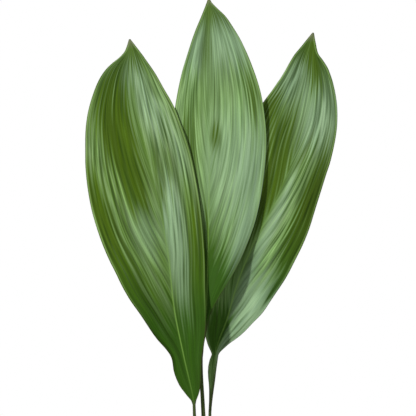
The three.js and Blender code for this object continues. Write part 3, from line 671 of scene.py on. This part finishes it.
def blotches(leaf, kind, s, v):
    """How strongly a point lies in the leaf's soft patches of one kind, 0 to 1. A patch is [distance along,
    share across, length, width, strength]. Its ends are frayed, and it is stronger on some veins."""
    place = vein_place(leaf, s, v)[0] + 3 * (v > 0)
    frayed = s + 13 * streaks(place, 0 * s, leaf["seed"] + 9, 9, (8, 34), (400, 900))
    contrast = PATCH_CONTRAST[kind] * smooth_step(s, 40, 160)
    by_vein = 1 + contrast * streaks(place, s, leaf["seed"] + 19, 12, (16, 44), (120, 400))
    total = np.zeros(np.broadcast(s, v).shape)
    for at, share, length, width, strength in leaf[kind]:
        total += strength * np.exp(-(((frayed - at) / length) ** 2 + ((v - share) / width) ** 2) ** 1.5)
    return np.clip(total * by_vein, 0, 1)


def blade_relief(leaf, s, v, half):
    """How far the blade lies behind the midrib: each half's slope, rounded at the midrib, the margin's curl,
    its waves, the blade's turn, and the soft swellings and furrows between the veins."""
    d = v * half
    right = v > 0

    def of_side(kind):
        """The value of one kind at every point, from the pairs of the half that it lies on."""
        return np.where(right, smooth_through(leaf[kind][1], s), smooth_through(leaf[kind][0], s))

    rise = of_side("lift") * (np.hypot(d, MIDRIB_ROUND) - MIDRIB_ROUND)
    start = np.where(right, leaf["roll"][1], leaf["roll"][0])
    curl = of_side("curl") * (np.maximum(0, np.abs(v) - start) / (1 - start)) ** 2
    height, length, phase = leaf["wave"]
    wave = height * v**2 * np.sin(2 * np.pi * s / length + phase + 2 * right) * np.minimum(1, half / 40)
    calm = np.minimum(1, half / 30) * smooth_step(np.abs(v), 0.0, 0.12)
    swell = 1.1 * streaks(v, s, leaf["seed"], 7, (1, 4), (90, 260))
    place = vein_place(leaf, s, v)[0] + 2 * right
    folds = 0.5 * streaks(place, s, leaf["seed"] + 1, 9, (7, 22), (120, 500))
    ribs = 0.04 * streaks(place, s, leaf["seed"] + 4, 8, (30, 50), (200, 900))
    ribbing = leaf["pleat"] * (folds + 1.5 * vein_grooves(leaf, s, v, half)) + ribs
    return -rise + curl + wave - smooth_through(leaf["turn"], s) * d + calm * (swell + ribbing)


def leaf_course(leaf):
    """A leaf's line from its foot on the knob to its tip, its lengths, and the length of its stalk."""
    foot = [[*leaf["stalk"][0], KNOB_TOP + REST]]
    stalk = foot + leaf["stalk"][1:]
    line, lengths = course(stalk + leaf["midrib"])
    return line, lengths, lengths[len(stalk) * SPAN_POINTS]


def leaf_grids(leaf, columns, stalk_rows, blade_rows):
    """Front and back grids of a leaf, and the numbers its skin reads. Rows run square to the leaf's line and
    gather at the blade's foot and tip. s is the distance up the blade, v the share across from -1 to 1, and
    spread is 0 on the round stalk and 1 on the flat blade."""
    line, lengths, stalk_length = leaf_course(leaf)
    blade_length = lengths[-1] - stalk_length
    t = np.linspace(0, 1, blade_rows + 1)
    up_stalk = np.linspace(0, stalk_length, stalk_rows, endpoint=False)
    up_blade = t - 0.55 * np.sin(2 * np.pi * t) / (2 * np.pi)
    at = np.concatenate([up_stalk, stalk_length + blade_length * up_blade])
    centre = along_course(line, lengths, at)
    tangent = along_course(line, lengths, at + 0.5) - along_course(line, lengths, at - 0.5)
    across = np.stack([tangent[:, 2], 0 * at, -tangent[:, 0]], axis=-1)
    across /= np.linalg.norm(across, axis=1, keepdims=True)
    s = (at - stalk_length)[:, None]
    fade = np.clip(1 - s / blade_length, 0, 1)
    base, top = leaf["stalk_radius"]
    stem = (base + (top - base) * np.clip(at / stalk_length, 0, 1))[:, None] * np.maximum(0.35, fade)
    v = np.linspace(-1, 1, columns + 1)[None, :]
    widths = [np.where(s < leaf[side][0][0], stem,
                       np.maximum(smooth_through(leaf[side], s), np.minimum(stem, leaf[side][0][1]) * fade))
              for side in ("left", "right")]
    half = np.where(v < 0, widths[0], widths[1])
    spread = smooth_step(half / stem, 1.05, 3)
    d = (1 - spread) * half * np.sin(np.pi / 2 * v) + spread * half * v
    middle = centre[:, None, :] + across[:, None, :] * d[..., None]
    middle[..., 1] += spread * blade_relief(leaf, s, v, half)
    normal = np.cross(np.gradient(middle, axis=1), np.gradient(middle, axis=0))
    normal /= np.linalg.norm(normal, axis=-1, keepdims=True)
    bulge = np.cos(np.pi / 2 * v)
    stalk_half = BLADE / 2 + (stem * STALK_DEPTH - BLADE / 2) * bulge
    keel = 1.2 * fade * np.exp(-((d / (1.1 + 0.5 * fade)) ** 2))
    margin = np.minimum(1, 0.45 + (half - np.abs(d)) / 0.6)
    front = (1 - spread) * 0.7 * stalk_half + spread * BLADE / 2 * margin
    back = (1 - spread) * stalk_half + spread * (BLADE / 2 * margin + keel)
    facts = {
        "along": s + 0 * half,
        "edge": half - np.abs(d),
        "rib": np.abs(d),
        "blade": spread + 0 * d,
        "vein": VEIN_SPAN * (vein_place(leaf, s, v)[0] + 2 * (v > 0)),
        "furrow": np.clip(vein_grooves(leaf, s, v, half), 0, 1),
        "dull_and_shaded": blotches(leaf, "dull_and_shaded", s, v),
        "pale_wash": blotches(leaf, "pale_wash", s, v),
    }
    return middle + normal * front[..., None], middle - normal * back[..., None], facts


def closed_sheet(front, back):
    """Points and faces of the thin body between two grids: both faces and the four edges between them."""
    rows, columns = front.shape[:2]
    index = np.arange(rows * columns).reshape(rows, columns)
    faces = [grid_quads(rows, columns), grid_quads(rows, columns)[:, ::-1] + rows * columns]
    for edge in (index[::-1, 0], index[0], index[:, -1], index[-1, ::-1]):
        other = edge + rows * columns
        faces.append(np.stack([edge[1:], edge[:-1], other[:-1], other[1:]], axis=-1))
    return np.vstack([front.reshape(-1, 3), back.reshape(-1, 3)]), np.vstack(faces)


def mark(piece, name, front, back=None):
    """Stores a number for each point of a sheet, the front's first. The back has the same unless given."""
    values = np.concatenate([np.ravel(front), np.ravel(front if back is None else back)]).astype(np.float32)
    piece.data.attributes.new(name, "FLOAT", "POINT").data.foreach_set("value", values)


def leaf_skin(leaf):
    """Leaf cuticle over ribbed tissue: satin wax, deep green with paler veins and painted shade in the
    furrows between them, painted olive shade in patches where the wax is also duller, and painted pale
    grey-green sheen in others."""
    material, tree, shader = new_material(f"waxy_leaf_{leaf['name']}")
    deep, mid, light = leaf["greens"]
    along, edge, rib, blade, vein, furrow, dull_and_shaded, pale_wash, back = (
        add(tree, "Attribute", attribute_name=name).outputs["Fac"]
        for name in ("along", "edge", "rib", "blade", "vein", "furrow", "dull_and_shaded", "pale_wash", "back"))

    def share(*fades):
        """The product of fades: each maps a value from its low to its high onto two shares."""
        product = 1.0
        for value, low, high, at_low, at_high in fades:
            faded = add(tree, "MapRange", {"Value": value, "From Min": low, "From Max": high,
                                           "To Min": at_low, "To Max": at_high})
            product = add(tree, "Math", {0: faded, 1: product}, operation="MULTIPLY")
        return product

    def painted(under, *coats):
        """Lays coats of colour over the one under them, each by the share that its fades give."""
        for colour, *fades in coats:
            under = add(tree, "Mix", {"Factor": share(*fades), 6: under, 7: colour},
                        data_type="RGBA").outputs[2]
        return under

    def lines(width, length, detail, seed):
        """Noise drawn out along the veins, with its width across them and its length in millimetres."""
        place = add(tree, "CombineXYZ", {"X": vein, "Y": along, "Z": seed})
        drawn = add(tree, "Mapping", {"Vector": place, "Scale": (1 / width, 1 / length, 1)})
        return add(tree, "TexNoise", {"Vector": drawn, "Scale": 1.0, "Detail": detail, "Roughness": 0.6})

    coarse = lines(3.4, 140, 3.0, leaf["seed"])
    fine = lines(1.7, 75, 2.0, leaf["seed"] + 5)
    broad = lines(7.0, 170, 1.0, leaf["seed"] + 8)
    tissue = add(tree, "ValToRGB", {"Fac": coarse}, stops=((0.34, deep), (0.46, mid), (0.58, light)))
    # Painted shade: deep green at the foot, olive higher up. The pale grey-green coat below is painted sheen.
    shaded_olive = painted(linear("#264c00"), (linear("#405a00"), (along, 90, 190, 0.0, 1.0)))
    tissue = painted(
        tissue,
        (linear(mid), (rib, 0.5, 7, 0.7, 0.0)),
        (linear("#8ca88c"), (pale_wash, 0, 1, 0.0, 0.6)),
        (shaded_olive, (dull_and_shaded, 0, 1, 0.0, 0.95)))

    # The veins darken and lighten the tissue, partly in their own tone and partly as painted light and shade
    # of the pleats' flanks, stronger on the more pleated leaves; less so near the midrib and inside the soft
    # patches.
    thread, pleat_shade = 0.42, 3 * leaf["pleat"] ** 2
    veins = share((fine, 0.3, 0.7, 1 - thread, 1 + thread), (broad, 0.3, 0.7, 1 - pleat_shade, 1 + pleat_shade))
    patched = add(tree, "Math", {0: dull_and_shaded, 1: pale_wash}, operation="MAXIMUM")
    depth = share((patched, 0, 1, 1.0, 0.5), (rib, 0.5, 7, 0.4, 1.0))
    tissue = add(tree, "Mix", {"Factor": depth, 6: tissue, 7: veins}, data_type="RGBA",
                 blend_type="MULTIPLY").outputs[2]

    # In order: painted shade in the furrows, the midrib, a painted highlight just inside the margin, the dry
    # tip, the stalk, the dark edge and the back.
    tip = leaf["left"][-1][0]
    tissue = painted(
        tissue,
        # Painted shade in the furrows between the veins.
        (linear("#233f00"), (furrow, 0, 1, 0.0, 2 * leaf["pleat"])),
        (linear("#80a84c"), (rib, 0.2, 1.1, 0.6, 0.0), (along, 60, 230, 1.0, 0.1), (along, 5, 70, 0.3, 1)),
        # A painted highlight: a pale line just inside the dark edge.
        (linear("#8dae62"), (edge, 0.7, 1.1, 0.0, 0.5), (edge, 1.6, 2.6, 1.0, 0.0), (along, 80, 150, 0, 1)),
        (linear("#6e6a58"), (along, tip - 12, tip - 2, 0.0, 0.75)),
        (linear("#3f4c26"), (blade, 0.0, 0.6, 0.93, 0.0)),
        (linear("#35301a"), (edge, 0.25, 0.7, 0.85, 0.0), (along, 70, 150, 1.0, 0.15)),
        (linear("#6d8f4a"), (back, 0, 1, 0.0, 0.55)))

    # The wax is dull in the patches of painted shade, duller in the furrows and thin on the stalk.
    matt = add(tree, "Math", {0: dull_and_shaded, 1: share((furrow, 0, 1, 0.0, 0.6))}, operation="MAXIMUM")
    matt = add(tree, "Math", {0: matt, 1: share((blade, 0.0, 0.6, 0.6, 0.0))}, operation="MAXIMUM")
    bump = add(tree, "Bump", {"Height": fine, "Strength": 0.5, "Distance": 0.3 * MM})
    feed(shader, {"Base Color": tissue, "Roughness": share((matt, 0, 1, 0.45, 0.85)),
                  "Specular Tint": linear("#eaffd3"), "Specular IOR Level": 0.3, "Normal": bump})
    return material


def grow_leaf(leaf):
    """One leaf from its two grids, carrying the numbers that its skin reads."""
    front, back, facts = leaf_grids(leaf, columns=250, stalk_rows=28, blade_rows=162)
    points, faces = closed_sheet(front, back)
    piece = mesh_piece(f"leaf_{leaf['name']}_blade", points, faces.tolist(), leaf_skin(leaf), "leaf")
    for name, values in facts.items():
        mark(piece, name, values)
    mark(piece, "back", np.zeros(len(points) // 2), np.ones(len(points) // 2))
    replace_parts(piece, f"leaf_{leaf['name']}")


for leaf in LEAVES:
    grow_leaf(leaf)


# ---- Scale leaves ----
# Two dry scale leaves sheathe the foot of each stalk. They are brown and papery, ribbed with fibres, and
# taper to a torn point that stands off a little from the stalk.
# A row gives the leaf, the kind, the height, the radius, and the middle and width of the wrap in degrees.
SHEATHS = [
    ("left", "inner", 52, 3.3, 200, 300),
    ("left", "outer", 27, 4.5, 40, 250),
    ("centre", "inner", 64, 3.5, 330, 300),
    ("centre", "outer", 34, 4.7, 160, 250),
    ("right", "inner", 46, 3.3, 80, 300),
    ("right", "outer", 24, 4.5, 260, 250),
]
SHEATH_THICKNESS = 0.8


def papery_scale():
    """Dry leaf tissue: dull brown parchment, streaked by its fibres, paler towards the point."""
    material, tree, shader = new_material("papery_scale_leaf")
    across, along, tip = (add(tree, "Attribute", attribute_name=name).outputs["Fac"]
                          for name in ("across", "along", "tip"))
    place = add(tree, "CombineXYZ", {"X": across, "Y": along})
    drawn = add(tree, "Mapping", {"Vector": place, "Scale": (1 / 0.45, 1 / 14, 1)})
    fibres = add(tree, "TexNoise", {"Vector": drawn, "Scale": 1.0, "Detail": 4.0})
    paper = add(tree, "ValToRGB", {"Fac": fibres},
                stops=((0.32, "#5b4027"), (0.5, "#93713f"), (0.66, "#c0a06a")))
    bleached = add(tree, "MapRange", {"Value": tip, "From Min": 0.55, "To Max": 0.6})
    tipped = add(tree, "Mix", {"Factor": bleached, 6: paper, 7: linear("#cdb184")}, data_type="RGBA")
    bump = add(tree, "Bump", {"Height": fibres, "Strength": 0.8, "Distance": 0.25 * MM})
    feed(shader, {"Base Color": tipped.outputs[2], "Roughness": 0.7, "Normal": bump})
    return material


def wrap_sheath(finish, side, kind, height, radius, middle, wrap):
    """A sheet round the stalk: its wrap narrows to the point, its radius flares there, fibres ripple it and
    its edge is torn by a few notches."""
    leaf = next(one for one in LEAVES if one["name"] == side)
    line, lengths = leaf_course(leaf)[:2]
    t = np.linspace(0, 1, 70)[:, None]
    u = np.linspace(-1, 1, 61)[None, :]
    half_wrap = (np.radians(wrap) * (1 - t**1.7) + 0.22) / 2
    angle = np.radians(middle) + half_wrap * u
    fibre = 0.07 * np.sin(angle * 22 + middle) + 0.05 * np.sin(angle * 37 - 3 * t)
    buckle = 0.35 * t * np.sin(3 * angle + middle) * np.sin(np.pi * t)
    notch = 1 - 0.05 * np.abs(u) ** 3 * (1 + np.sin(23 * t + middle)) * t
    angle = np.radians(middle) + half_wrap * u * notch
    at = t * height * (1 - 0.02 * u**2)
    outwards = np.stack([np.cos(angle), np.sin(angle), 0 * angle], axis=-1)
    away = radius * (1 - 0.12 * t) + 1.6 * t**3 + SHEATH_THICKNESS / 2 + fibre + buckle
    sheet = along_course(line, lengths, at) + outwards * away[..., None]
    thick = 0.8 * SHEATH_THICKNESS / 2 * (1 - 0.6 * np.abs(u) ** 6) * (1 - 0.5 * t**4)
    points, faces = closed_sheet(sheet + outwards * thick[..., None], sheet - outwards * thick[..., None])
    name = f"sheath_{side}_{kind}"
    piece = mesh_piece(f"{name}_scale", points, faces.tolist(), finish, "dry_sheath")
    mark(piece, "across", angle * radius)
    mark(piece, "along", at)
    mark(piece, "tip", t + 0 * u)
    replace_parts(piece, name)


papery = papery_scale()
for row in SHEATHS:
    wrap_sheath(papery, *row)


# ---- Surface, light and camera ----
# The plant stands on a plain pale disc that fades to white. A light hangs in front, up and to the left, and a
# wide faint one lightens the shadows. A third shines on the leaves' backs, and the camera looks straight at
# the blades.
def floor_finish():
    """Matte white paint whose cover thins out from a quarter of a metre off the middle, so no rim shows."""
    material, tree, shader = new_material("matte_white_board")
    place = add(tree, "NewGeometry").outputs["Position"]
    away = add(tree, "VectorMath", {0: place}, operation="LENGTH").outputs["Value"]
    cover = add(tree, "MapRange", {"Value": away, "From Min": 0.25, "From Max": 0.95, "To Min": 1.0,
                                   "To Max": 0.0}, interpolation_type="SMOOTHSTEP")
    feed(shader, {"Base Color": linear("#f2f1ee"), "Roughness": 0.9, "Alpha": cover})
    return material


def lay_floor():
    """A thin round board just below the pot's foot: rings of points round the middle."""
    sides = 96
    turn = circle(sides)
    rings = np.array([[1.0], [300], [650], [1000]])
    points = np.stack([rings * np.cos(turn), rings * np.sin(turn), 0 * rings * turn - 0.2], axis=-1)
    quads = grid_quads(len(rings), sides, around=True).tolist()
    floor = mesh_object("floor", points.reshape(-1, 3), [*quads, [*range(sides)][::-1]], floor_finish())


lay_floor()

world = bpy.data.worlds.new("white_room")
bpy.context.scene.world = world
world.use_nodes = True
room = world.node_tree
seen = add(room, "LightPath").outputs["Is Camera Ray"]
glow = add(room, "MapRange", {"Value": seen, "To Min": 0.25, "To Max": 1.0})
feed(room.nodes["Background"], {"Color": linear("#ffffff"), "Strength": glow})
LAMP_AIM = np.array([0, 0, 0.48])


def soft_light(name, azimuth, elevation, distance, width, height, power):
    """A rectangular lamp that faces the blades: azimuth is counted from the camera's side and elevation from
    level, both in degrees."""
    lamp = bpy.data.lights.new(name, "AREA")
    lamp.shape = "RECTANGLE"
    lamp.size, lamp.size_y = width, height
    lamp.energy = power
    holder = new_object(name, lamp)
    turn, rise = math.radians(azimuth), math.radians(elevation)
    level = math.cos(rise)
    away = np.array([math.sin(turn) * level, -math.cos(turn) * level, math.sin(rise)])
    holder.location = LAMP_AIM + away * distance
    holder.rotation_mode = "QUATERNION"
    holder.rotation_quaternion = Vector(away).to_track_quat("Z", "Y")


soft_light("key", azimuth=-36, elevation=19, distance=1.8, width=0.12, height=0.12, power=26)
soft_light("fill", azimuth=8, elevation=6, distance=1.9, width=0.7, height=0.7, power=4.5)
soft_light("back", azimuth=160, elevation=38, distance=2.2, width=1.2, height=1.2, power=22)

VIEW_DISTANCE = 2.0
FRAME_SIDE = 0.4576
FRAME_MIDDLE = (-0.00572, 0.4798)
SENSOR_WIDTH = 36
camera_data = bpy.data.cameras.new("camera")
camera_data.sensor_width = SENSOR_WIDTH
camera_data.lens = SENSOR_WIDTH * VIEW_DISTANCE / FRAME_SIDE
camera = new_object("camera", camera_data)
camera.location = (FRAME_MIDDLE[0], -VIEW_DISTANCE, FRAME_MIDDLE[1])
camera.rotation_euler = (math.radians(90), 0, 0)
bpy.context.scene.camera = camera
bpy.context.scene.view_settings.view_transform = "Standard"
